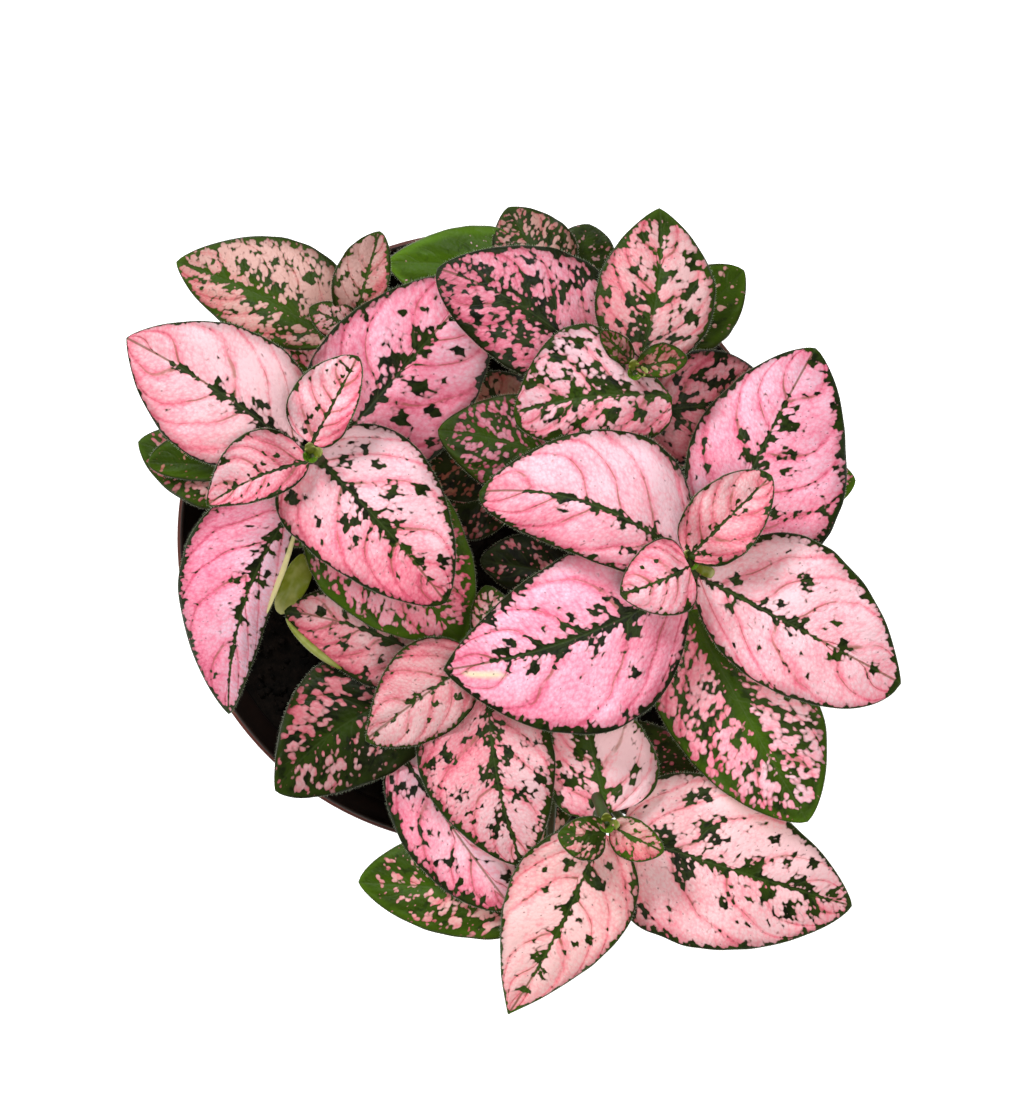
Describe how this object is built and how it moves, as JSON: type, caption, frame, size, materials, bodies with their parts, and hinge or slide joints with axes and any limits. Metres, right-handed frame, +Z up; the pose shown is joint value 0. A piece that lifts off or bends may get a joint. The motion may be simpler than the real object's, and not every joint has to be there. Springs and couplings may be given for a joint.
{
  "type": "potted polka dot plant",
  "caption": "Small house plant with pink leaves blotched and edged in dark green, bushy over a round tapered nursery pot filled with soil.",
  "frame": {"origin": "middle of the pot's flat underside", "axes": "+Z up along the pot's axis; +X and +Y lie in the surface that the pot stands on, +Y away from a viewer who looks at the plant with its longest leaf towards them"},
  "size_m": [0.1405, 0.1517, 0.1653],
  "materials": {
    "pot": "thin moulded plastic, dark red-brown, slightly satin",
    "soil": "near-black crumbly peat compost, rough",
    "foliage": "soft matt leaves, pink with dark green blotches, veins and margins"
  },
  "bodies": {
    "root": {"pot": "pot", "soil": "soil", "stem_left": "foliage", "stem_right": "foliage", "stem_upper": "foliage", "stem_bottom": "foliage", "stem_front": "foliage", "stem_front_left": "foliage", "stem_back_left": "foliage", "stem_back": "foliage", "stem_middle": "foliage"}
  },
  "joints": []
}
